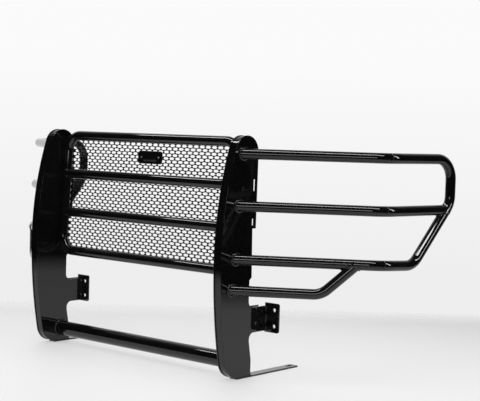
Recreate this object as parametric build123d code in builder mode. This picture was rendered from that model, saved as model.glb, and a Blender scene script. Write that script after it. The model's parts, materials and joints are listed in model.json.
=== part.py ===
from build123d import *
from math import asin, atan2, cos, degrees, hypot, radians, sin, sqrt, tan
import os

# A welded front grille guard for a full-size pickup truck: two boxed uprights, a mesh-backed
# hoop with two cross tubes between them, a heavy bottom cross tube, and a wrap-round wing of
# bent tube on each side that guards the headlight.
#
# +X is to the right seen from the front, +Y is rearwards (towards the truck), +Z is up.
# The origin is on the middle plane, on the floor, at the middle of the guard's depth.
# Everything is in millimetres. Depths count back from the nose plane, which touches the
# frontmost line of the uprights; NOSE_Y places that plane.

# ---- overall ----
GUARD_DEPTH = 733.05
NOSE_Y = -GUARD_DEPTH / 2
TOP_Z = 882.0

# ---- tube stock ----
TUBE_R = 38.1 / 2
TUBE_WALL = 3.0
COPE_GAP = 0.5
PIPE_R = 60.3 / 2
PIPE_WALL = 4.0

# ---- uprights: side plates and the strip between their front edges ----
INNER_X = 482.0
OUTER_X = 518.0
PLATE_T = 5.0
STRIP_T = 5.0
STRIP_RECESS = 2.5
NOSE_Z = 430.0
UPPER_CURVE_R = 1290.0
LOWER_CURVE_R = 1850.0
CROWN_R = 62.0
TOE_R = 70.0
REAR_TOP = 190.0
NOTCH_Z = 545.0
REAR_NOTCH = 186.0
REAR_MID = 167.0
STEP_TOP = (171.0, 367.0)
STEP_FOOT = (159.0, 356.0)
ARM_END = 252.0
ARM_TOP_Z = 256.0
ARM_FOOT_Z = 163.0
ARM_FILLET_R = 24.0
HEEL_UPPER = (166.0, 132.0)
HEEL_LOWER = (179.0, 66.0)
REAR_FOOT = 180.0
EDGE_R = 1.2
CLEARANCE = 0.5

# oval slots along the rear edge of each side plate: centre depth, centre height, length
EDGE_SLOTS = ((171.0, 703.0, 46.0), (168.0, 569.0, 28.0))
EDGE_SLOT_W = 11.0

# ---- floor straps ----
STRAP_W = 38.0
STRAP_T = 6.0
STRAP_FRONT = 104.0
STRAP_REAR = 462.0
STRAP_CORNER_R = 4.0
STRAP_SLOT_DEPTH = 430.0
STRAP_SLOT_L = 34.0
STRAP_SLOT_W = 13.0

# ---- hoop, cross tubes and mesh ----
HOOP_X = INNER_X - TUBE_R
HOOP_FOOT = (118.0, 387.0)
HOOP_HEAD = (147.0, 858.0)
HOOP_BEND_R = 63.5
PIPE_DEPTH = 136.0
PIPE_Z = 57.0
MESH_T = 3.0
MESH_EDGE = 6.0
MESH_BORDER = 5.0
HOLE_PITCH_X = 30.8
HOLE_PITCH_V = 12.45
HOLE_W = 21.0
HOLE_H = 9.0

# ---- wings ----
LOOP_TOP_Z = 816.0
MIDDLE_Z = 629.0
LOOP_LOW_Z = 438.0
BRACE_Z = 328.0
LOOP_TOP_ROOT = 106.0
MIDDLE_ROOT = 89.0
LOOP_LOW_ROOT = 78.0
BRACE_ROOT = 62.0
SWEEP = radians(33.0)
KINK_X = 955.0
KINK_R = 105.0
BEND_R = 76.2
TAIL_X = 1007.0
TAIL_DEPTH = GUARD_DEPTH - TUBE_R
TAIL_LOW_Z = 652.0
CHIN_DEPTH = 515.0
CHIN_DROP = 6.0
BRACE_BEND_X = 785.0
BRACE_END_X = 880.0

# ---- frame brackets ----
BRACKET_T = 6.0
FLANGE_W = 66.0
FLANGE_LOW_Z = 160.0
FLANGE_TOP_Z = 269.0
FLANGE_CORNER_R = 8.0
LEG_DEPTH = 38.0
LEG_LOW_Z = 166.0
LEG_TOP_Z = 253.0
FLANGE_HOLE_X = 44.0
FLANGE_HOLES_Z = (184.0, 244.0)
FLANGE_HOLE_R = 7.0
BOLTS_Z = (188.0, 232.0)
BOLT_SETBACK = 20.0
BOLT_R = 6.0
BOLT_LENGTH = 28.0
HEX_FLATS = 18.0
HEAD_T = 7.5
NUT_T = 10.0
WASHER_R = 12.0
WASHER_T = 2.5

# ---- badge; its screws pass through mesh holes of one staggered row ----
BADGE_W = 128.0
BADGE_H = 50.0
BADGE_T = 4.0
BADGE_R = 12.0
BADGE_RIM = 3.0
BADGE_RIM_T = 1.0
BADGE_ROW = 13
SPACER_R = 5.0
SPACER_L = 6.0
SCREW_HEAD_R = 4.5
SCREW_HEAD_T = 2.4
SCREW_SOCKET_R = 1.8
SCREW_SHANK_R = 2.5
SCREW_SHANK_L = 22.0
FLANGE_NUT_R = 8.0
FLANGE_NUT_RIM_T = 1.5
FLANGE_NUT_FLATS = 8.0
FLANGE_NUT_T = 4.0

# ---- welds ----
WELD_LEG = 6.0
WELD_TOE = 0.8
JOINT_WELD = 4.5
JOINT_WELD_REACH = 3.0
WELD_GAP = 0.1
STITCH_L = 38.0
STITCH_PITCH = 110.0
STITCH_COUNT = 4

# ---- worked out from the above ----
LEAN = atan2(HOOP_HEAD[0] - HOOP_FOOT[0], HOOP_HEAD[1] - HOOP_FOOT[1])
HOOP_HEIGHT = hypot(HOOP_HEAD[0] - HOOP_FOOT[0], HOOP_HEAD[1] - HOOP_FOOT[1])
CROSS_TUBE_V = (HOOP_HEIGHT / 3, HOOP_HEIGHT * 2 / 3)
UPRIGHT_MID_X = (INNER_X + OUTER_X) / 2
BADGE_V = HOOP_HEIGHT / 2 + BADGE_ROW * HOLE_PITCH_V
BADGE_SCREW_X = 1.5 * HOLE_PITCH_X

# The hoop leans back with the uprights. Its plane has X across, V up the lean, and a normal
# that points forwards; V is zero on the axis of the hoop's bottom tube.
hoop_plane = Plane(
    origin=(0, NOSE_Y + HOOP_FOOT[0], HOOP_FOOT[1]),
    x_dir=(1, 0, 0),
    z_dir=(0, -cos(LEAN), sin(LEAN)),
)

# Front face of the mesh, which touches the backs of the tubes.
mesh_plane = Plane(
    origin=hoop_plane.from_local_coords((0, HOOP_HEIGHT / 2, -TUBE_R)),
    x_dir=hoop_plane.x_dir,
    z_dir=hoop_plane.z_dir,
)

os.makedirs("parts", exist_ok=True)


def save(piece, label):
    """Label a finished piece and write its STEP file."""
    piece.label = label
    export_step(piece, f"parts/{label}.step")


def save_pair(right_piece, name):
    """Write a right-hand piece and its mirror image."""
    save(right_piece, f"right_{name}")
    save(mirror(right_piece, about=Plane.YZ), f"left_{name}")


def profile_plane(x):
    """Plane of constant X in which a sketch is drawn as (depth, height)."""
    return Plane(origin=(x, NOSE_Y, 0), x_dir=(0, 1, 0), z_dir=(1, 0, 0))


def corner(face, x, y):
    """The vertex of a sketch that is closest to a point."""
    return face.vertices().sort_by_distance(Vector(x, y, 0))[0]


def ring(wall, radius):
    """Cross-section of a tube."""
    Circle(radius)
    Circle(radius - wall, mode=Mode.SUBTRACT)


# ------------------------------------------------------------------ uprights

toe_depth = LOWER_CURVE_R - sqrt(LOWER_CURVE_R**2 - (NOSE_Z - STRAP_T) ** 2)
lower_sweep = degrees(asin((NOSE_Z - STRAP_T) / LOWER_CURVE_R))
upper_sweep = degrees(asin((TOP_Z - NOSE_Z) / UPPER_CURVE_R))

# Outline shared by the side plates and the front strip, drawn as (depth, height).
with BuildSketch() as outline:
    with BuildLine():
        CenterArc((LOWER_CURVE_R, NOSE_Z), LOWER_CURVE_R, 180, lower_sweep)
        upper = CenterArc((UPPER_CURVE_R, NOSE_Z), UPPER_CURVE_R, 180, -upper_sweep)
        Polyline(
            upper @ 1,
            (REAR_TOP, TOP_Z),
            (REAR_NOTCH, NOTCH_Z),
            (REAR_MID, NOTCH_Z),
            STEP_TOP,
            STEP_FOOT,
            (STEP_FOOT[0], ARM_TOP_Z),
            (ARM_END, ARM_TOP_Z),
            (ARM_END, ARM_FOOT_Z),
            (HEEL_UPPER[0], ARM_FOOT_Z),
            HEEL_UPPER,
            HEEL_LOWER,
            (REAR_FOOT, STRAP_T),
            (toe_depth, STRAP_T),
        )
    make_face()
    crown_front = corner(outline, (upper @ 1).X, TOP_Z)
    crown_rear = corner(outline, REAR_TOP, TOP_Z)
    fillet([crown_front, crown_rear], CROWN_R)
    fillet(corner(outline, toe_depth, STRAP_T), TOE_R)
    arm_top_root = corner(outline, STEP_FOOT[0], ARM_TOP_Z)
    arm_foot_root = corner(outline, HEEL_UPPER[0], ARM_FOOT_Z)
    fillet([arm_top_root, arm_foot_root], ARM_FILLET_R)


def side_plate(inboard_x, showing_face, bolt_holes):
    """Right-hand side plate with its edge slots, softened around the face that shows."""
    with BuildPart() as plate:
        with BuildSketch(profile_plane(inboard_x)):
            add(outline.sketch)
            for depth, height, length in EDGE_SLOTS:
                with Locations((depth, height)):
                    SlotOverall(length, EDGE_SLOT_W, rotation=90, mode=Mode.SUBTRACT)
            if bolt_holes:
                with Locations([(ARM_END - BOLT_SETBACK, z) for z in BOLTS_Z]):
                    Circle(BOLT_R + CLEARANCE, mode=Mode.SUBTRACT)
        extrude(amount=PLATE_T)
        rim = plate.faces().sort_by(Axis.X)[showing_face].outer_wire()
        fillet(rim.edges(), EDGE_R)
    return plate.part


def front_strip():
    """Strip that closes the front of the box, from under the toe over the crown."""
    rear_cut = REAR_MID - CROWN_R / 2
    with BuildPart() as strip:
        with BuildSketch(profile_plane(INNER_X + PLATE_T)):
            add(offset(outline.sketch, amount=-STRIP_RECESS, mode=Mode.PRIVATE))
            inside = offset(outline.sketch, amount=-STRIP_RECESS - STRIP_T, mode=Mode.PRIVATE)
            add(inside, mode=Mode.SUBTRACT)
            with Locations((rear_cut, -STRIP_T)):
                height = TOP_Z - CROWN_R + STRIP_T
                Rectangle(REAR_TOP, height, align=(Align.MIN, Align.MIN), mode=Mode.SUBTRACT)
        extrude(amount=OUTER_X - INNER_X - 2 * PLATE_T)
    return strip.part


def floor_strap():
    """Flat bar under the upright that runs back along the floor to a slotted end."""
    length = STRAP_REAR - STRAP_FRONT
    middle = (STRAP_REAR + STRAP_FRONT) / 2
    with BuildPart() as strap:
        with BuildSketch(Plane((UPRIGHT_MID_X, NOSE_Y + middle, 0))) as flat:
            Rectangle(STRAP_W, length)
            fillet(flat.vertices(), STRAP_CORNER_R)
            with Locations((0, STRAP_SLOT_DEPTH - middle)):
                SlotOverall(STRAP_SLOT_L, STRAP_SLOT_W, rotation=90, mode=Mode.SUBTRACT)
        extrude(amount=STRAP_T)
    return strap.part


save_pair(side_plate(OUTER_X - PLATE_T, -1, bolt_holes=True), "outer_plate")
save_pair(side_plate(INNER_X, 0, bolt_holes=False), "inner_plate")
save_pair(front_strip(), "front_strip")
save_pair(floor_strap(), "floor_strap")


# ------------------------------------------------------------------ hoop, cross tubes, mesh

with BuildPart() as hoop:
    with BuildLine(hoop_plane) as hoop_path:
        FilletPolyline(
            (-HOOP_X, 0),
            (HOOP_X, 0),
            (HOOP_X, HOOP_HEIGHT),
            (-HOOP_X, HOOP_HEIGHT),
            radius=HOOP_BEND_R,
            close=True,
        )
    with BuildSketch(Plane(hoop_path.line @ 0, z_dir=hoop_path.line % 0)):
        ring(TUBE_WALL, TUBE_R)
    sweep()
save(hoop.part, "grille_hoop")


def upright_rod(x, radius):
    """Solid rod along one of the hoop's two upright tubes."""
    with BuildPart() as rod:
        with BuildSketch(Plane(hoop_plane.from_local_coords((x, 0, 0)), z_dir=hoop_plane.y_dir)):
            Circle(radius)
        extrude(amount=HOOP_HEIGHT)
    return rod.part


def cross_rod(v, radius, wall=0.0):
    """Rod or tube between the axes of the hoop's upright tubes, at height V up the lean."""
    start = hoop_plane.from_local_coords((-HOOP_X, v, 0))
    with BuildPart() as rod:
        with BuildSketch(Plane(start, z_dir=(1, 0, 0))):
            Circle(radius)
            if wall:
                Circle(radius - wall, mode=Mode.SUBTRACT)
        extrude(amount=2 * HOOP_X)
    return rod.part


def cross_tube(v):
    """Cross tube coped to sit against the hoop's upright tubes."""
    with BuildPart() as tube:
        add(cross_rod(v, TUBE_R, TUBE_WALL))
        for x in (-HOOP_X, HOOP_X):
            add(upright_rod(x, TUBE_R + COPE_GAP), mode=Mode.SUBTRACT)
    return tube.solids().sort_by(SortBy.VOLUME)[-1]


def cross_tube_weld(x, v):
    """Bead around the joint of a cross tube with one of the hoop's upright tubes."""
    with BuildPart() as weld:
        add(cross_rod(v, TUBE_R + JOINT_WELD))
        add(upright_rod(x, TUBE_R + JOINT_WELD_REACH), mode=Mode.INTERSECT)
        add(cross_rod(v, TUBE_R), mode=Mode.SUBTRACT)
        add(upright_rod(x, TUBE_R + WELD_GAP), mode=Mode.SUBTRACT)
        split(bisect_by=mesh_plane.offset(JOINT_WELD), keep=Keep.TOP)
    return weld.solids()


lower_v, upper_v = CROSS_TUBE_V
save(cross_tube(lower_v), "lower_cross_tube")
save(cross_tube(upper_v), "upper_cross_tube")
joint_beads = []
for joint_v in CROSS_TUBE_V:
    for joint_x in (-HOOP_X, HOOP_X):
        joint_beads += cross_tube_weld(joint_x, joint_v)
save(Compound(children=joint_beads), "cross_tube_welds")

with BuildPart() as pipe:
    with BuildSketch(Plane((-INNER_X, NOSE_Y + PIPE_DEPTH, PIPE_Z), z_dir=(1, 0, 0))):
        ring(PIPE_WALL, PIPE_R)
    extrude(amount=2 * INNER_X)
save(pipe.part, "bottom_cross_tube")


def pipe_weld():
    """Bead around the right-hand end of the bottom cross tube."""
    centre = (INNER_X, NOSE_Y + PIPE_DEPTH, PIPE_Z)
    with BuildPart() as weld:
        with BuildSketch(Plane(centre, x_dir=(0, 0, 1), z_dir=(0, 1, 0))):
            with BuildLine():
                Polyline((PIPE_R, 0), (PIPE_R + WELD_LEG, 0), (PIPE_R, -WELD_LEG), close=True)
            make_face()
        revolve(axis=Axis(centre, (1, 0, 0)))
    return weld.part


right_bead = pipe_weld()
left_bead = mirror(right_bead, about=Plane.YZ)
save(Compound(children=[left_bead.solid(), right_bead.solid()]), "bottom_tube_welds")


def hoop_stitch(v):
    """Short bead in the groove between the right inner plate and the hoop, at height V."""
    with BuildPart() as stitch:
        with BuildSketch(hoop_plane.offset(TUBE_R / 2)):
            with Locations((INNER_X, v)):
                Rectangle(WELD_LEG, STITCH_L, align=(Align.MAX, Align.CENTER))
        extrude(amount=TUBE_R / 4)
        add(upright_rod(HOOP_X, TUBE_R), mode=Mode.SUBTRACT)
    return stitch.solids().sort_by(Axis.X)[-1]


stitches = []
for step in range(STITCH_COUNT):
    stitch_v = HOOP_HEIGHT / 2 + (step - (STITCH_COUNT - 1) / 2) * STITCH_PITCH
    bead = hoop_stitch(stitch_v)
    stitches += [bead, mirror(bead, about=Plane.YZ)]
save(Compound(children=stitches), "hoop_stitch_welds")

# Punched sheet across the back of the tubes: staggered rows of oval holes inside a border.
sheet_w = 2 * (HOOP_X + MESH_EDGE)
sheet_h = HOOP_HEIGHT + 2 * MESH_EDGE
sheet_corner_r = HOOP_BEND_R + MESH_EDGE


def on_sheet(x, v):
    """Whether a point clears the sheet's plain border, measured from the sheet's middle."""
    corner_x = abs(x) - sheet_w / 2 + sheet_corner_r
    corner_v = abs(v) - sheet_h / 2 + sheet_corner_r
    reach = max(corner_x, corner_v)
    if min(corner_x, corner_v) > 0:
        reach = hypot(corner_x, corner_v)
    return reach < sheet_corner_r - MESH_BORDER


def hole_centres():
    """Centres of the whole holes that fit; odd rows are staggered by half a pitch."""
    row_reach = int(sheet_h / 2 / HOLE_PITCH_V)
    column_reach = int(sheet_w / 2 / HOLE_PITCH_X) + 1
    for row in range(-row_reach, row_reach + 1):
        for column in range(-column_reach, column_reach + 1):
            x = (column + row % 2 / 2) * HOLE_PITCH_X
            v = row * HOLE_PITCH_V
            tips = ((x + HOLE_W / 2, v), (x - HOLE_W / 2, v), (x, v + HOLE_H / 2), (x, v - HOLE_H / 2))
            if all(on_sheet(*tip) for tip in tips):
                yield x, v


def oval_hole(x, v):
    """Rim of one hole in the flat sheet."""
    return Wire([Edge.make_ellipse(HOLE_W / 2, HOLE_H / 2, plane=Plane((x, v, 0)))])


with BuildSketch() as sheet:
    RectangleRounded(sheet_w, sheet_h, sheet_corner_r)
punched = Face(sheet.face().outer_wire(), [oval_hole(x, v) for x, v in hole_centres()])
with BuildPart() as mesh:
    extrude(mesh_plane.location * punched, amount=MESH_T, dir=-mesh_plane.z_dir)
save(mesh.part, "grille_mesh")


# ------------------------------------------------------------------ badge

def badge_places(normal_offset):
    """The plane of the badge at a distance in front of the tubes' centre plane."""
    centre = hoop_plane.from_local_coords((0, BADGE_V, normal_offset))
    return Plane(centre, x_dir=hoop_plane.x_dir, z_dir=hoop_plane.z_dir)


spacer_foot = -TUBE_R
badge_back = spacer_foot + SPACER_L
badge_front = badge_back + BADGE_T
screw_spots = ((-BADGE_SCREW_X, 0), (BADGE_SCREW_X, 0))

# Blank plate with a raised rim and two screw holes.
with BuildPart() as badge:
    with BuildSketch(badge_places(badge_back)):
        RectangleRounded(BADGE_W, BADGE_H, BADGE_R)
    extrude(amount=BADGE_T)
    with BuildSketch(badge_places(badge_front)):
        RectangleRounded(BADGE_W, BADGE_H, BADGE_R)
        inner_w = BADGE_W - 2 * BADGE_RIM
        inner_h = BADGE_H - 2 * BADGE_RIM
        RectangleRounded(inner_w, inner_h, BADGE_R - BADGE_RIM, mode=Mode.SUBTRACT)
    extrude(amount=BADGE_RIM_T)
    with BuildSketch(badge_places(badge_back)):
        with Locations(*screw_spots):
            Circle(SCREW_SHANK_R + CLEARANCE)
    extrude(amount=BADGE_T, mode=Mode.SUBTRACT)
save(badge.part, "badge_plate")

with BuildPart() as spacers:
    with BuildSketch(badge_places(spacer_foot)):
        with Locations(*screw_spots):
            Circle(SPACER_R)
            Circle(SCREW_SHANK_R + CLEARANCE, mode=Mode.SUBTRACT)
    extrude(amount=SPACER_L)
save(spacers.part, "badge_spacers")

# Button-head screws with a hexagon socket.
with BuildPart() as screws:
    with BuildSketch(badge_places(badge_front)):
        with Locations(*screw_spots):
            Circle(SCREW_HEAD_R)
    extrude(amount=SCREW_HEAD_T, taper=20)
    with BuildSketch(badge_places(badge_front + SCREW_HEAD_T)):
        with Locations(*screw_spots):
            RegularPolygon(SCREW_SOCKET_R, 6)
    extrude(amount=-SCREW_HEAD_T / 2, mode=Mode.SUBTRACT)
    with BuildSketch(badge_places(badge_front)):
        with Locations(*screw_spots):
            Circle(SCREW_SHANK_R)
    extrude(amount=-SCREW_SHANK_L)
save(screws.part, "badge_screws")

with BuildPart() as screw_nuts:
    with BuildSketch(badge_places(spacer_foot - MESH_T)):
        with Locations(*screw_spots):
            Circle(FLANGE_NUT_R)
            Circle(SCREW_SHANK_R, mode=Mode.SUBTRACT)
    extrude(amount=-FLANGE_NUT_RIM_T)
    with BuildSketch(badge_places(spacer_foot - MESH_T - FLANGE_NUT_RIM_T)):
        with Locations(*screw_spots):
            RegularPolygon(FLANGE_NUT_FLATS / 2, 6, major_radius=False)
            Circle(SCREW_SHANK_R, mode=Mode.SUBTRACT)
    extrude(amount=-FLANGE_NUT_T)
save(screw_nuts.part, "badge_nuts")


# ------------------------------------------------------------------ wings

def wing_depth(root_depth, x):
    """Depth at X of a wing tube that leaves its root with the common sweep."""
    return root_depth + (x - OUTER_X) * tan(SWEEP)


def wing_point(root_depth, x, z):
    """Point on the swept front run of a wing tube."""
    return (x, NOSE_Y + wing_depth(root_depth, x), z)


def bent_rod(points, radii, outer_r, wall=0.0):
    """Tube (or solid rod) whose axis runs through points, with a bend radius at each corner."""
    with BuildPart() as rod:
        with BuildLine() as path:
            FilletPolyline(*points, radius=radii)
        with BuildSketch(Plane(path.line @ 0, z_dir=path.line % 0)):
            Circle(outer_r)
            if wall:
                Circle(outer_r - wall, mode=Mode.SUBTRACT)
        sweep()
    return rod.part


# Axis of each tube on the right-hand wing. The roots start inside the upright and are
# trimmed to its face; the middle tube and the brace end on the loop's axis.
root_x = OUTER_X - TUBE_R
tail_y = NOSE_Y + TAIL_DEPTH
chin_x = KINK_X + (TAIL_X - KINK_X) / 2
chin_z = LOOP_LOW_Z - CHIN_DROP
landing = (TAIL_LOW_Z - MIDDLE_Z) / (TAIL_LOW_Z - chin_z)
loop_points = (
    wing_point(LOOP_TOP_ROOT, root_x, LOOP_TOP_Z),
    wing_point(LOOP_TOP_ROOT, KINK_X, LOOP_TOP_Z),
    (TAIL_X, tail_y, LOOP_TOP_Z),
    (TAIL_X, tail_y, TAIL_LOW_Z),
    (chin_x, NOSE_Y + CHIN_DEPTH, chin_z),
    wing_point(LOOP_LOW_ROOT, KINK_X, LOOP_LOW_Z),
    wing_point(LOOP_LOW_ROOT, root_x, LOOP_LOW_Z),
)
loop_radii = (KINK_R, BEND_R, BEND_R, BEND_R, KINK_R)
middle_points = (
    wing_point(MIDDLE_ROOT, root_x, MIDDLE_Z),
    wing_point(MIDDLE_ROOT, KINK_X, MIDDLE_Z),
    (
        TAIL_X - landing * (TAIL_X - chin_x),
        tail_y - landing * (TAIL_DEPTH - CHIN_DEPTH),
        MIDDLE_Z,
    ),
)
brace_points = (
    wing_point(BRACE_ROOT, root_x, BRACE_Z),
    wing_point(BRACE_ROOT, BRACE_BEND_X, BRACE_Z),
    wing_point(LOOP_LOW_ROOT, BRACE_END_X, LOOP_LOW_Z),
)
upright_face = Plane.YZ.offset(OUTER_X)


def loop_rod(growth):
    """Solid rod along the loop, fatter than the loop's tube by growth on the radius."""
    return bent_rod(loop_points, loop_radii, TUBE_R + growth)


def wing_tube(points, radii, coped=True):
    """Hollow wing tube trimmed to the upright, and to the loop where it lands on it."""
    with BuildPart() as tube:
        add(bent_rod(points, radii, TUBE_R, TUBE_WALL))
        split(bisect_by=upright_face, keep=Keep.TOP)
        if coped:
            add(loop_rod(COPE_GAP), mode=Mode.SUBTRACT)
    return tube.solids().sort_by(SortBy.VOLUME)[-1]


save_pair(wing_tube(loop_points, loop_radii, coped=False), "wing_loop")
save_pair(wing_tube(middle_points, (KINK_R,)), "wing_middle_tube")
save_pair(wing_tube(brace_points, (BEND_R,)), "wing_brace")


def root_weld(root_depth, z):
    """Bead around a wing tube where it meets the upright's outer plate."""
    axis_start = wing_point(root_depth, root_x, z)
    axis_end = wing_point(root_depth, OUTER_X + PIPE_R, z)
    with BuildPart() as weld:
        for x, spread in ((OUTER_X, WELD_LEG), (OUTER_X + WELD_LEG, WELD_TOE)):
            with BuildSketch(profile_plane(x)):
                with Locations((wing_depth(root_depth, x), z)):
                    Ellipse(TUBE_R / cos(SWEEP) + spread, TUBE_R + spread)
        loft()
        with BuildLine() as core:
            Line(axis_start, axis_end)
        with BuildSketch(Plane(core.line @ 0, z_dir=core.line % 0)):
            Circle(TUBE_R)
        sweep(mode=Mode.SUBTRACT)
    return weld.solids().sort_by(SortBy.VOLUME)[-1]


def landing_weld(points, radii):
    """Bead around the end of a wing tube where it lands on the loop."""
    with BuildPart() as weld:
        add(bent_rod(points, radii, TUBE_R + JOINT_WELD))
        add(loop_rod(JOINT_WELD_REACH), mode=Mode.INTERSECT)
        add(bent_rod(points, radii, TUBE_R), mode=Mode.SUBTRACT)
        add(loop_rod(WELD_GAP), mode=Mode.SUBTRACT)
    return weld.solids().sort_by(SortBy.VOLUME)[-1]


root_beads = [
    root_weld(LOOP_TOP_ROOT, LOOP_TOP_Z),
    root_weld(MIDDLE_ROOT, MIDDLE_Z),
    root_weld(LOOP_LOW_ROOT, LOOP_LOW_Z),
    root_weld(BRACE_ROOT, BRACE_Z),
]
landing_beads = [
    landing_weld(middle_points, (KINK_R,)),
    landing_weld(brace_points, (BEND_R,)),
]
save_pair(Compound(children=root_beads), "wing_root_welds")
save_pair(Compound(children=landing_beads), "wing_landing_welds")


# ------------------------------------------------------------------ frame brackets

# Angle whose leg lies against a side plate and whose flange bolts to the truck's frame horn.
# Both sides carry the same hand: outside the upright on the right, inside it on the left.
flange_front = NOSE_Y + ARM_END
left_shift = (PLATE_T - OUTER_X) - OUTER_X
with BuildPart() as bracket:
    with BuildSketch(Plane((OUTER_X, flange_front, FLANGE_LOW_Z), x_dir=(1, 0, 0), z_dir=(0, 0, 1))):
        with BuildLine():
            Polyline(
                (0, -LEG_DEPTH),
                (BRACKET_T, -LEG_DEPTH),
                (BRACKET_T, 0),
                (FLANGE_W, 0),
                (FLANGE_W, BRACKET_T),
                (0, BRACKET_T),
                close=True,
            )
        profile = make_face()
        fillet(corner(profile, BRACKET_T, 0), BRACKET_T / 2)
    extrude(amount=FLANGE_TOP_Z - FLANGE_LOW_Z)
    for low, high in ((FLANGE_LOW_Z, LEG_LOW_Z), (LEG_TOP_Z, FLANGE_TOP_Z)):
        with Locations((OUTER_X, flange_front, low)):
            trim = (Align.MIN, Align.MAX, Align.MIN)
            Box(FLANGE_W, LEG_DEPTH, high - low, align=trim, mode=Mode.SUBTRACT)
    with BuildSketch(Plane((OUTER_X, flange_front, 0), x_dir=(1, 0, 0), z_dir=(0, -1, 0))):
        with Locations([(FLANGE_HOLE_X, z) for z in FLANGE_HOLES_Z]):
            Circle(FLANGE_HOLE_R)
    extrude(amount=-BRACKET_T, mode=Mode.SUBTRACT)
    with BuildSketch(profile_plane(OUTER_X)):
        with Locations([(ARM_END - BOLT_SETBACK, z) for z in BOLTS_Z]):
            Circle(BOLT_R + CLEARANCE)
    extrude(amount=BRACKET_T, mode=Mode.SUBTRACT)
    flange_corners = bracket.edges().filter_by(Axis.Y).filter_by(
        lambda edge: edge.center().X > OUTER_X + FLANGE_W - CLEARANCE
    )
    fillet(flange_corners, FLANGE_CORNER_R)
save(bracket.part, "right_frame_bracket")
save(Pos(left_shift, 0, 0) * bracket.part, "left_frame_bracket")

# Two hex bolts hold each leg, with the head and a washer outboard and the nut inboard.
bolt_spots = [(ARM_END - BOLT_SETBACK, z) for z in BOLTS_Z]
grip = BRACKET_T + PLATE_T


def bolt_plane(x):
    """Plane facing inboard, in which the bolts stand at (depth, height)."""
    return profile_plane(x)


def bolt_heads(head_face):
    """Bolts with the underside of the washer on a face at X; shanks point inboard."""
    with BuildPart() as bolts:
        with BuildSketch(bolt_plane(head_face + WASHER_T)):
            with Locations(*bolt_spots):
                RegularPolygon(HEX_FLATS / 2, 6, major_radius=False)
        extrude(amount=HEAD_T)
        with BuildSketch(bolt_plane(head_face + WASHER_T)):
            with Locations(*bolt_spots):
                Circle(BOLT_R)
        extrude(amount=-BOLT_LENGTH)
    return bolts.part


def bolt_washers(head_face):
    """Plain washers under the bolt heads."""
    with BuildPart() as washers:
        with BuildSketch(bolt_plane(head_face)):
            with Locations(*bolt_spots):
                Circle(WASHER_R)
                Circle(BOLT_R, mode=Mode.SUBTRACT)
        extrude(amount=WASHER_T)
    return washers.part


def bolt_nuts(head_face):
    """Hex nuts on the inboard side of the clamped plates."""
    with BuildPart() as nuts:
        with BuildSketch(bolt_plane(head_face - grip)):
            with Locations(*bolt_spots):
                RegularPolygon(HEX_FLATS / 2, 6, major_radius=False)
                Circle(BOLT_R, mode=Mode.SUBTRACT)
        extrude(amount=-NUT_T)
    return nuts.part


right_face = OUTER_X + BRACKET_T
left_face = OUTER_X
for make, name in ((bolt_heads, "bolts"), (bolt_washers, "washers"), (bolt_nuts, "nuts")):
    save(make(right_face), f"right_bracket_{name}")
    save(mirror(make(left_face), about=Plane.YZ), f"left_bracket_{name}")


def strap_weld():
    """Bead across the floor strap behind the foot of the right upright."""
    with BuildPart() as weld:
        with BuildSketch(profile_plane(INNER_X)):
            with BuildLine():
                Polyline(
                    (REAR_FOOT, STRAP_T),
                    (REAR_FOOT + WELD_LEG, STRAP_T),
                    (REAR_FOOT, STRAP_T + WELD_LEG),
                    close=True,
                )
            make_face()
        extrude(amount=OUTER_X - INNER_X)
    return weld.part


save_pair(strap_weld(), "strap_weld")
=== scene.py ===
import json
import math

import bmesh
import bpy
from mathutils import Matrix, Vector


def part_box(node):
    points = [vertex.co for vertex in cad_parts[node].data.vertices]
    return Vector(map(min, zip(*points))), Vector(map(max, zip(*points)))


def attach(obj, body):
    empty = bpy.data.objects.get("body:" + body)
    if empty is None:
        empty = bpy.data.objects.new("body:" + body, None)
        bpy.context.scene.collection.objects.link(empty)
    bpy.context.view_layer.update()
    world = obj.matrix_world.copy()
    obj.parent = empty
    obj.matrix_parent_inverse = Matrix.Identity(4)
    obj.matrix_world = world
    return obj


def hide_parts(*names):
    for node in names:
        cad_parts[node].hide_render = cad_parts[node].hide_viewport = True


# Studio picture of a gloss-black front grille guard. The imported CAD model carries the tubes,
# plates, brackets and badge. This script adds painted surfaces, rippled weld beads and a mesh
# sheet with hexagonal holes in place of the CAD ones, a plain bar on the badge, creases on the
# wing bends, the floor, the lights and the camera.
# Metres, +X to the right seen from the front, +Y towards the truck, +Z up.

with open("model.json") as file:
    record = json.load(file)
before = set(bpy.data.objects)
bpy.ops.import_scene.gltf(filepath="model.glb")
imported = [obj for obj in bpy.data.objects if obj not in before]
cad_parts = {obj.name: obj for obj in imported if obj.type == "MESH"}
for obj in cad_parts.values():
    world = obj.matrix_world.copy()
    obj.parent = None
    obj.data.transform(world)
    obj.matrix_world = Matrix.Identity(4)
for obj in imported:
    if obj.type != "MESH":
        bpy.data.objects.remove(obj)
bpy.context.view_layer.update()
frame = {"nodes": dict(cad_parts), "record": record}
record = frame["record"]
nodes = frame["nodes"]

# ---- dimensions shared with the CAD model ----
NOSE_Y = -0.36653
OUTER_X = 0.518
INNER_X = 0.482
TUBE_R = 0.01905
PIPE_R = 0.03015
PIPE_DEPTH = 0.136
PIPE_Z = 0.057
SWEEP = math.radians(33.0)
WING_ROOTS = ((0.106, 0.816), (0.089, 0.629), (0.078, 0.438), (0.062, 0.328))

# ---- welds ----
BEAD_R = 0.0048
RIPPLE_PITCH = 0.0055
RIPPLE_DEPTH = 0.22
RIPPLE_LAG = 0.35
BEAD_LIFT = 0.35
BEAD_SPREAD = 0.4
BEAD_SIDES = 10
RINGS_PER_RIPPLE = 5

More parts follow.
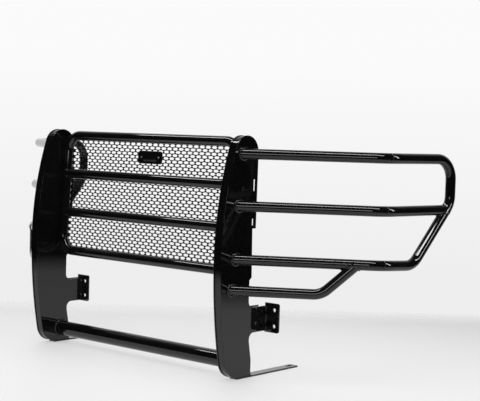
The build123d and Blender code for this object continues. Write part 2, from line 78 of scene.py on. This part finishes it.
# ---- camera, solved against the real proportions of the guard ----
CAMERA_AT = Vector((3.304, NOSE_Y - 3.157, 0.902))
CAMERA_YAW = math.radians(40.61)
CAMERA_PITCH = math.radians(3.38)
CAMERA_ROLL = math.radians(1.71)
CAMERA_LENS = 90.03
SENSOR_W = 36.0

# ---- paint ----
PAINT = (0.002, 0.002, 0.0022)
PAINT_DUSTY = (0.006, 0.006, 0.0065)
BADGE_BLACK = (0.003, 0.003, 0.0035)
ZINC = ((0.42, 0.43, 0.44), (0.66, 0.66, 0.64))
BLACK_PLATING = ((0.015, 0.015, 0.016), (0.04, 0.04, 0.04))
CLOUD_SCALE = 9.0
SMUDGE_SCALE = 22.0
MOTTLE_SCALE = 320.0

# ---- mesh sheet: staggered rows of flattened hexagons, drawn in the plane of the hoop ----
HOOP_X = INNER_X - TUBE_R
HOOP_FOOT = (0.118, 0.387)
HOOP_HEAD = (0.147, 0.858)
HOOP_BEND_R = 0.0635
MESH_EDGE = 0.006
MESH_BORDER = 0.005
MESH_T = 0.0015
HOLE_PITCH_X = 0.0308
HOLE_PITCH_V = 0.01245
HOLE_W = 0.0280
HOLE_FLAT_W = 0.0150
HOLE_H = 0.0106
CORNER_STEPS = 12

# ---- badge inlay ----
BADGE_T = 0.004
INLAY_HALF_L = 0.031
INLAY_R = 0.0035
INLAY_T = 0.0008
INLAY_DROP = 0.012
INLAY_STEPS = 10

# ---- creases: where the wing tubes bend back, as x from the centre, depth and height ----
WING_BENDS = ((0.9467, 0.3952, 0.816), (0.9467, 0.3782, 0.629), (0.9467, 0.3672, 0.438))
BEND_HEADING = math.radians(57.0)
CREASE_R = 0.0028
CREASE_BOW = 0.006
CREASE_LIFT = 0.25
CREASE_TIP = 0.15
CREASE_FROM = math.radians(-35)
CREASE_TO = math.radians(70)
CREASE_RINGS = 14

# ---- stage: floor radii in metres, brightness of the surroundings, and slopes or headings
# (as parts of a unit direction) between which the brightness changes ----
FLOOR_R = 2.8
FLOOR_RIM = 0.9
FLOOR_FAR_EDGE = 1.25
FLOOR_FAR_SOFTNESS = 0.35
FLOOR_COLOUR = (0.78, 0.78, 0.78, 1)
WALL_LEVEL = 0.91
WALL_LOW_LEVEL = 0.85
WALL_HIGH_LEVEL = 0.96
WALL_LOW_SLOPE = -0.12
WALL_HIGH_SLOPE = 0.06
DIM_UP_TO = 0.25
WALL_FROM = 0.85
DIM_LEVEL = 0.004


# ------------------------------------------------------------------ camera

def make_camera():
    """Camera at the solved viewpoint, with its small roll."""
    data = bpy.data.cameras.new("camera")
    data.lens = CAMERA_LENS
    data.sensor_width = SENSOR_W
    data.clip_end = 60
    camera = bpy.data.objects.new("camera", data)
    bpy.context.scene.collection.objects.link(camera)
    look = Vector((
        -math.sin(CAMERA_YAW) * math.cos(CAMERA_PITCH),
        math.cos(CAMERA_YAW) * math.cos(CAMERA_PITCH),
        -math.sin(CAMERA_PITCH),
    ))
    right = Vector((math.cos(CAMERA_YAW), math.sin(CAMERA_YAW), 0))
    up = right.cross(look)
    rolled_right = math.cos(CAMERA_ROLL) * right + math.sin(CAMERA_ROLL) * up
    rolled_up = -math.sin(CAMERA_ROLL) * right + math.cos(CAMERA_ROLL) * up
    turn = Matrix((rolled_right, rolled_up, -look)).transposed()
    camera.matrix_world = Matrix.Translation(CAMERA_AT) @ turn.to_4x4()
    bpy.context.scene.camera = camera
    return look


view_direction = make_camera()
level_view = Vector((view_direction.x, view_direction.y, 0)).normalized()


# ------------------------------------------------------------------ materials

def new_material(name):
    """A node material and its Principled shader."""
    material = bpy.data.materials.new(name)
    material.use_nodes = True
    return material, material.node_tree, material.node_tree.nodes["Principled BSDF"]


def noise(tree, scale, detail=3.0):
    """3-D noise in object space; scale is in features per metre."""
    place = tree.nodes.new("ShaderNodeTexCoord")
    texture = tree.nodes.new("ShaderNodeTexNoise")
    texture.inputs["Scale"].default_value = scale
    texture.inputs["Detail"].default_value = detail
    tree.links.new(place.outputs["Object"], texture.inputs["Vector"])
    return texture.outputs["Fac"]


def remap(tree, value, low, high, start=0.0, end=1.0):
    """Map Range from start..end to low..high."""
    node = tree.nodes.new("ShaderNodeMapRange")
    node.inputs["From Min"].default_value = start
    node.inputs["From Max"].default_value = end
    node.inputs["To Min"].default_value = low
    node.inputs["To Max"].default_value = high
    tree.links.new(value, node.inputs["Value"])
    return node.outputs["Result"]


def vector_math(tree, operation, first, second=None):
    """Number from a vector, or from a vector and a fixed one."""
    node = tree.nodes.new("ShaderNodeVectorMath")
    node.operation = operation
    tree.links.new(first, node.inputs[0])
    if second is not None:
        node.inputs[1].default_value = second
    return node.outputs["Value"]


def tint(tree, factor, first, second):
    """Blend of two colours by a factor."""
    node = tree.nodes.new("ShaderNodeMix")
    node.data_type = "RGBA"
    node.inputs["A"].default_value = (*first, 1)
    node.inputs["B"].default_value = (*second, 1)
    tree.links.new(factor, node.inputs["Factor"])
    return node.outputs["Result"]


def add_bump(tree, shader, height, strength, distance):
    """Bump the shader's normal; distance is in metres."""
    node = tree.nodes.new("ShaderNodeBump")
    node.inputs["Strength"].default_value = strength
    node.inputs["Distance"].default_value = distance
    tree.links.new(height, node.inputs["Height"])
    tree.links.new(node.outputs["Normal"], shader.inputs["Normal"])


def powder_coat(name, colour, dusty, rough_low, rough_high, peel_scale, peel_strength):
    """Black powder coat: slight orange peel, cloudy gloss, and a trace of dust."""
    material, tree, shader = new_material(name)
    cloud = noise(tree, CLOUD_SCALE, 4.0)
    tree.links.new(tint(tree, cloud, colour, dusty), shader.inputs["Base Color"])
    smudge = noise(tree, SMUDGE_SCALE, 5.0)
    tree.links.new(remap(tree, smudge, rough_low, rough_high, 0.3, 0.7), shader.inputs["Roughness"])
    add_bump(tree, shader, noise(tree, peel_scale, 2.0), peel_strength, 0.0004)
    return material


def plated(name, dark, light):
    """Plated metal with a faint mottled sheen."""
    material, tree, shader = new_material(name)
    mottle = noise(tree, MOTTLE_SCALE, 4.0)
    tree.links.new(tint(tree, mottle, dark, light), shader.inputs["Base Color"])
    tree.links.new(remap(tree, mottle, 0.22, 0.42), shader.inputs["Roughness"])
    shader.inputs["Metallic"].default_value = 1.0
    add_bump(tree, shader, mottle, 0.15, 0.0003)
    return material


# colours, then lowest and highest roughness, then scale and strength of the orange peel
finishes = {
    "frame_paint": powder_coat("frame_paint", PAINT, PAINT_DUSTY, 0.025, 0.06, 420.0, 0.035),
    "weld_paint": powder_coat("weld_paint", PAINT, PAINT_DUSTY, 0.06, 0.14, 700.0, 0.15),
    "mesh_paint": powder_coat("mesh_paint", PAINT, PAINT_DUSTY, 0.16, 0.28, 600.0, 0.15),
    "badge_paint": powder_coat("badge_paint", BADGE_BLACK, PAINT_DUSTY, 0.06, 0.12, 900.0, 0.05),
    "zinc_hardware": plated("zinc_hardware", *ZINC),
}
black_hardware = plated("black_hardware", *BLACK_PLATING)

for entry in record["subparts"]:
    mesh = nodes[entry["node"]].data
    mesh.materials.clear()
    finish = finishes[entry["material_slot"]]
    if "bracket" in entry["node"] and entry["material_slot"] == "zinc_hardware":
        finish = black_hardware
    mesh.materials.append(finish)


def add_piece(name, bm, slot_name, replaced=(), smooth=True):
    """Turn a bmesh into a piece that rides on the guard."""
    mesh = bpy.data.meshes.new(name)
    bm.to_mesh(mesh)
    bm.free()
    mesh.polygons.foreach_set("use_smooth", [smooth] * len(mesh.polygons))
    piece = bpy.data.objects.new(name, mesh)
    bpy.context.scene.collection.objects.link(piece)
    mesh.materials.append(finishes[slot_name])
    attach(piece, "root")
    if replaced:
        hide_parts(*replaced)
    return piece


# ------------------------------------------------------------------ weld beads

def closed_bead(bm, point_at, length, outward):
    """Rippled bead along a closed path. point_at maps 0..1 to a point on the path."""
    ripples = round(length / RIPPLE_PITCH)
    rings = ripples * RINGS_PER_RIPPLE
    loops = []
    for ring in range(rings):
        t = ring / rings
        here = point_at(t)
        ahead = point_at((t + 0.5 / rings) % 1.0)
        along = (ahead - here).normalized()
        side = outward.cross(along).normalized()
        phase = (ring % RINGS_PER_RIPPLE) / RINGS_PER_RIPPLE
        radius = BEAD_R * (1 - RIPPLE_DEPTH * phase)
        loop = []
        for step in range(BEAD_SIDES):
            angle = 2 * math.pi * step / BEAD_SIDES
            offset = side * math.cos(angle) + outward * math.sin(angle)
            # the crown of each ripple trails behind its edges, as on a real bead
            lag = along * (-RIPPLE_LAG * RIPPLE_PITCH * max(0.0, math.sin(angle)))
            loop.append(bm.verts.new(here + offset * radius + lag))
        loops.append(loop)
    for ring in range(rings):
        first, second = loops[ring], loops[(ring + 1) % rings]
        for step in range(BEAD_SIDES):
            after = (step + 1) % BEAD_SIDES
            bm.faces.new((first[step], first[after], second[after], second[step]))


def root_beads(side, name, replaced):
    """Beads round the four wing tubes where they meet one outer plate."""
    bm = bmesh.new()
    for depth, height in WING_ROOTS:
        half_y = TUBE_R / math.cos(SWEEP) + BEAD_R * BEAD_SPREAD
        half_z = TUBE_R + BEAD_R * BEAD_SPREAD

        def point_at(t):
            angle = 2 * math.pi * t
            return Vector((
                side * (OUTER_X + BEAD_R * BEAD_LIFT),
                NOSE_Y + depth + half_y * math.cos(angle),
                height + half_z * math.sin(angle),
            ))

        around = math.pi * (half_y + half_z)
        closed_bead(bm, point_at, around, Vector((side, 0, 0)))
    bmesh.ops.recalc_face_normals(bm, faces=bm.faces)
    return add_piece(name, bm, "weld_paint", (replaced,))


def pipe_beads():
    """Beads round both ends of the bottom cross tube."""
    bm = bmesh.new()
    for side in (-1, 1):
        reach = PIPE_R + BEAD_R * BEAD_SPREAD

        def point_at(t):
            angle = 2 * math.pi * t
            return Vector((
                side * (INNER_X - BEAD_R * BEAD_LIFT),
                NOSE_Y + PIPE_DEPTH + reach * math.cos(angle),
                PIPE_Z + reach * math.sin(angle),
            ))

        closed_bead(bm, point_at, 2 * math.pi * reach, Vector((-side, 0, 0)))
    bmesh.ops.recalc_face_normals(bm, faces=bm.faces)
    return add_piece("bottom_tube_beads", bm, "weld_paint", ("bottom_tube_welds",))


root_beads(1, "right_root_beads", "right_wing_root_welds")
root_beads(-1, "left_root_beads", "left_wing_root_welds")
pipe_beads()


# ------------------------------------------------------------------ mesh sheet

lean = math.atan2(HOOP_HEAD[0] - HOOP_FOOT[0], HOOP_HEAD[1] - HOOP_FOOT[1])
hoop_height = math.hypot(HOOP_HEAD[0] - HOOP_FOOT[0], HOOP_HEAD[1] - HOOP_FOOT[1])
hoop_up = Vector((0, math.sin(lean), math.cos(lean)))
hoop_front = Vector((0, -math.cos(lean), math.sin(lean)))
hoop_middle = Vector((0, NOSE_Y + HOOP_FOOT[0], HOOP_FOOT[1])) + hoop_up * hoop_height / 2
sheet_w = 2 * (HOOP_X + MESH_EDGE)
sheet_h = hoop_height + 2 * MESH_EDGE
sheet_corner_r = HOOP_BEND_R + MESH_EDGE


def on_sheet(x, v):
    """Whether a point clears the sheet's plain border."""
    corner_x = abs(x) - sheet_w / 2 + sheet_corner_r
    corner_v = abs(v) - sheet_h / 2 + sheet_corner_r
    reach = max(corner_x, corner_v)
    if min(corner_x, corner_v) > 0:
        reach = math.hypot(corner_x, corner_v)
    return reach < sheet_corner_r - MESH_BORDER


def add_outline(curve, points):
    """Closed straight-sided outline in a flat curve."""
    spline = curve.splines.new("POLY")
    spline.points.add(len(points) - 1)
    for point, (x, y) in zip(spline.points, points):
        point.co = (x, y, 0, 1)
    spline.use_cyclic_u = True


def sheet_outline():
    """Rounded rectangle of the whole sheet."""
    points = []
    centres = ((1, 1), (-1, 1), (-1, -1), (1, -1))
    for quarter, (sign_x, sign_v) in enumerate(centres):
        for step in range(CORNER_STEPS + 1):
            angle = math.pi / 2 * (quarter + step / CORNER_STEPS)
            points.append((
                sign_x * (sheet_w / 2 - sheet_corner_r) + sheet_corner_r * math.cos(angle),
                sign_v * (sheet_h / 2 - sheet_corner_r) + sheet_corner_r * math.sin(angle),
            ))
    return points


def hexagon(x, v):
    """Flattened hexagon round a hole's centre."""
    return [
        (x + HOLE_W / 2, v),
        (x + HOLE_FLAT_W / 2, v + HOLE_H / 2),
        (x - HOLE_FLAT_W / 2, v + HOLE_H / 2),
        (x - HOLE_W / 2, v),
        (x - HOLE_FLAT_W / 2, v - HOLE_H / 2),
        (x + HOLE_FLAT_W / 2, v - HOLE_H / 2),
    ]


def make_mesh_sheet():
    """Punched sheet with hexagonal holes in place of the CAD sheet's ovals."""
    curve = bpy.data.curves.new("mesh_sheet_outline", "CURVE")
    curve.dimensions = "2D"
    curve.fill_mode = "BOTH"
    curve.extrude = MESH_T / 2
    add_outline(curve, sheet_outline())
    row_reach = int(sheet_h / 2 / HOLE_PITCH_V)
    column_reach = int(sheet_w / 2 / HOLE_PITCH_X) + 1
    for row in range(-row_reach, row_reach + 1):
        for column in range(-column_reach, column_reach + 1):
            outline = hexagon((column + row % 2 / 2) * HOLE_PITCH_X, row * HOLE_PITCH_V)
            if all(on_sheet(x, v) for x, v in outline):
                add_outline(curve, outline)
    drawn = bpy.data.objects.new("mesh_sheet_outline", curve)
    bpy.context.scene.collection.objects.link(drawn)
    mesh = bpy.data.meshes.new_from_object(drawn.evaluated_get(bpy.context.evaluated_depsgraph_get()))
    bpy.data.objects.remove(drawn)
    turn = Matrix((Vector((1, 0, 0)), hoop_up, hoop_front)).transposed().to_4x4()
    back = hoop_middle - hoop_front * (TUBE_R + MESH_T / 2)
    mesh.transform(Matrix.Translation(back) @ turn)
    bm = bmesh.new()
    bm.from_mesh(mesh)
    bmesh.ops.remove_doubles(bm, verts=bm.verts, dist=1e-6)
    bmesh.ops.recalc_face_normals(bm, faces=bm.faces)
    return add_piece("mesh_sheet", bm, "mesh_paint", ("grille_mesh",), smooth=False)


make_mesh_sheet()


# ------------------------------------------------------------------ badge inlay

def badge_inlay():
    """Plain pale bar let into the lower half of the badge."""
    low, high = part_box("badge_plate")
    centre = (Vector(low) + Vector(high)) / 2
    bm = bmesh.new()
    ring = []
    for end in (1, -1):
        for step in range(INLAY_STEPS + 1):
            angle = math.pi * (step / INLAY_STEPS - 0.5)
            x = end * (INLAY_HALF_L + INLAY_R * math.cos(angle))
            v = end * INLAY_R * math.sin(angle)
            ring.append(bm.verts.new((x, v, 0)))
    face = bm.faces.new(ring)
    raised = bmesh.ops.extrude_face_region(bm, geom=[face])
    tops = [item for item in raised["geom"] if isinstance(item, bmesh.types.BMVert)]
    bmesh.ops.translate(bm, verts=tops, vec=(0, 0, INLAY_T))
    turn = Matrix((Vector((1, 0, 0)), hoop_up, hoop_front)).transposed().to_4x4()
    face_front = centre + hoop_front * (BADGE_T / 2 - INLAY_T / 2) - hoop_up * INLAY_DROP
    bm.transform(Matrix.Translation(face_front) @ turn)
    bmesh.ops.recalc_face_normals(bm, faces=bm.faces)
    return add_piece("badge_inlay", bm, "zinc_hardware", smooth=False)


badge_inlay()


# ------------------------------------------------------------------ creases where the wings bend

def kink_creases(side, name):
    """Short pinched ridge across the front of each bend of one wing."""
    bm = bmesh.new()
    for x, depth, height in WING_BENDS:
        middle = Vector((side * x, NOSE_Y + depth, height))
        along = Vector((side * math.cos(BEND_HEADING), math.sin(BEND_HEADING), 0))
        front = Vector((side * math.sin(BEND_HEADING), -math.cos(BEND_HEADING), 0))
        loops = []
        for ring in range(CREASE_RINGS + 1):
            t = ring / CREASE_RINGS
            angle = CREASE_FROM + (CREASE_TO - CREASE_FROM) * t
            out = front * math.cos(angle) + Vector((0, 0, math.sin(angle)))
            bow = along * (CREASE_BOW * math.sin(math.pi * t))
            thick = CREASE_R * max(CREASE_TIP, math.sqrt(math.sin(math.pi * t)))
            here = middle + out * (TUBE_R + CREASE_R * CREASE_LIFT) + bow
            loops.append([
                bm.verts.new(here + (along * math.cos(turn) + out * math.sin(turn)) * thick)
                for turn in (2 * math.pi * step / BEAD_SIDES for step in range(BEAD_SIDES))
            ])
        for first, second in zip(loops, loops[1:]):
            for step in range(BEAD_SIDES):
                after = (step + 1) % BEAD_SIDES
                bm.faces.new((first[step], first[after], second[after], second[step]))
        bm.faces.new(loops[0])
        bm.faces.new(loops[-1])
    bmesh.ops.recalc_face_normals(bm, faces=bm.faces)
    return add_piece(name, bm, "frame_paint")


kink_creases(1, "right_bend_creases")
kink_creases(-1, "left_bend_creases")


# ------------------------------------------------------------------ floor, surroundings, lights

def make_floor():
    """Round pale floor that fades into the pale surroundings."""
    bm = bmesh.new()
    bmesh.ops.create_circle(bm, cap_ends=True, segments=96, radius=FLOOR_R)
    mesh = bpy.data.meshes.new("studio_floor")
    bm.to_mesh(mesh)
    bm.free()
    floor = bpy.data.objects.new("studio_floor", mesh)
    bpy.context.scene.collection.objects.link(floor)
    material, tree, shader = new_material("studio_floor")
    shader.inputs["Base Color"].default_value = FLOOR_COLOUR
    shader.inputs["Roughness"].default_value = 0.6
    place = tree.nodes.new("ShaderNodeTexCoord")
    from_middle = vector_math(tree, "LENGTH", place.outputs["Object"])
    rim = remap(tree, from_middle, 1.0, 0.0, FLOOR_R - FLOOR_RIM, FLOOR_R)
    away = vector_math(tree, "DOT_PRODUCT", place.outputs["Object"], level_view)
    far = remap(tree, away, 1.0, 0.0, FLOOR_FAR_EDGE - FLOOR_FAR_SOFTNESS, FLOOR_FAR_EDGE)
    cover = tree.nodes.new("ShaderNodeMath")
    cover.operation = "MULTIPLY"
    tree.links.new(rim, cover.inputs[0])
    tree.links.new(far, cover.inputs[1])
    tree.links.new(cover.outputs["Value"], shader.inputs["Alpha"])
    mesh.materials.append(material)


def make_world():
    """Pale surroundings for the camera; for reflections, a pale wall behind and dim elsewhere."""
    world = bpy.data.worlds.new("studio")
    bpy.context.scene.world = world
    world.use_nodes = True
    tree = world.node_tree
    tree.nodes.clear()
    out = tree.nodes.new("ShaderNodeOutputWorld")
    seen = tree.nodes.new("ShaderNodeBackground")
    reflected = tree.nodes.new("ShaderNodeBackground")
    place = tree.nodes.new("ShaderNodeTexCoord")
    height = vector_math(tree, "DOT_PRODUCT", place.outputs["Generated"], (0, 0, 1))
    wall = remap(tree, height, WALL_LOW_LEVEL, WALL_HIGH_LEVEL, WALL_LOW_SLOPE, WALL_HIGH_SLOPE)
    tree.links.new(wall, seen.inputs["Color"])
    facing = vector_math(tree, "DOT_PRODUCT", place.outputs["Generated"], level_view)
    level = remap(tree, facing, DIM_LEVEL, WALL_LEVEL, DIM_UP_TO, WALL_FROM)
    tree.links.new(level, reflected.inputs["Color"])
    rays = tree.nodes.new("ShaderNodeLightPath")
    mix = tree.nodes.new("ShaderNodeMixShader")
    tree.links.new(rays.outputs["Is Camera Ray"], mix.inputs["Fac"])
    tree.links.new(reflected.outputs["Background"], mix.inputs[1])
    tree.links.new(seen.outputs["Background"], mix.inputs[2])
    tree.links.new(mix.outputs["Shader"], out.inputs["Surface"])


def softbox(name, at, aim, width, height, power, reflects=True, shades=False):
    """Rectangular area light pointed at a spot, never seen itself."""
    data = bpy.data.lights.new(name, "AREA")
    data.shape = "RECTANGLE"
    data.size = width
    data.size_y = height
    data.energy = power
    data.use_shadow = shades
    lamp = bpy.data.objects.new(name, data)
    bpy.context.scene.collection.objects.link(lamp)
    lamp.location = at
    lamp.rotation_euler = (Vector(aim) - Vector(at)).to_track_quat("-Z", "Y").to_euler()
    lamp.visible_glossy = reflects
    lamp.visible_camera = False


make_floor()
make_world()
softbox("fill", at=(0, -1, 4.5), aim=(0, 0, 0), width=6, height=6, power=110,
        reflects=False, shades=True)
softbox("top_strip", at=(0.0, -0.85, 3.2), aim=(0, -0.2, 0.4), width=5.0, height=0.26, power=85)
softbox("front_panel", at=(3.2, -4.7, 1.65), aim=(0.7, -0.1, 1.0), width=1.7, height=1.1, power=24)
softbox("right_edge", at=(3.6, 0.8, 2.2), aim=(0.5, 0, 0.5), width=0.35, height=2.4, power=35)

scene = bpy.context.scene
scene.view_settings.view_transform = "Standard"
scene.view_settings.look = "None"
